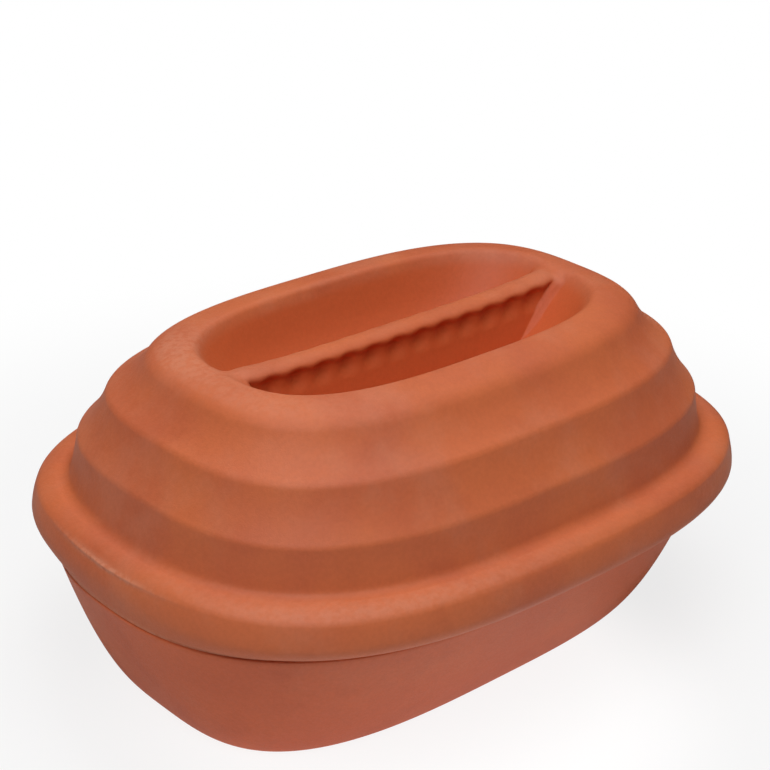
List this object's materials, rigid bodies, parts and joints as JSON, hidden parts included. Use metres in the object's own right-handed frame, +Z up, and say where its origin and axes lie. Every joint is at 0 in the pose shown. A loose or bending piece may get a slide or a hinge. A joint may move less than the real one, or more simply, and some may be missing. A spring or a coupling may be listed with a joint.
{
  "type": "clay roaster",
  "caption": "Oval unglazed clay roaster: a deep pot and a stepped lid with a rounded flange and a finger well crossed by a fluted grip bar; the lid lifts straight off.",
  "frame": {"origin": "on the table under the middle of the pot's foot", "axes": "+X along the roaster's length, +Y across it, +Z up"},
  "size_m": [0.365, 0.269, 0.173],
  "materials": {
    "pot_clay": "matte unglazed fired clay",
    "lid_clay": "matte unglazed fired clay"
  },
  "bodies": {
    "pot": {"pot": "pot_clay"},
    "lid": {"lid": "lid_clay"}
  },
  "joints": [
    {"name": "lid_lift", "type": "slide", "parent": "pot", "child": "lid", "axis": [0, 0, 1], "range_m": [0, 0.16]}
  ]
}
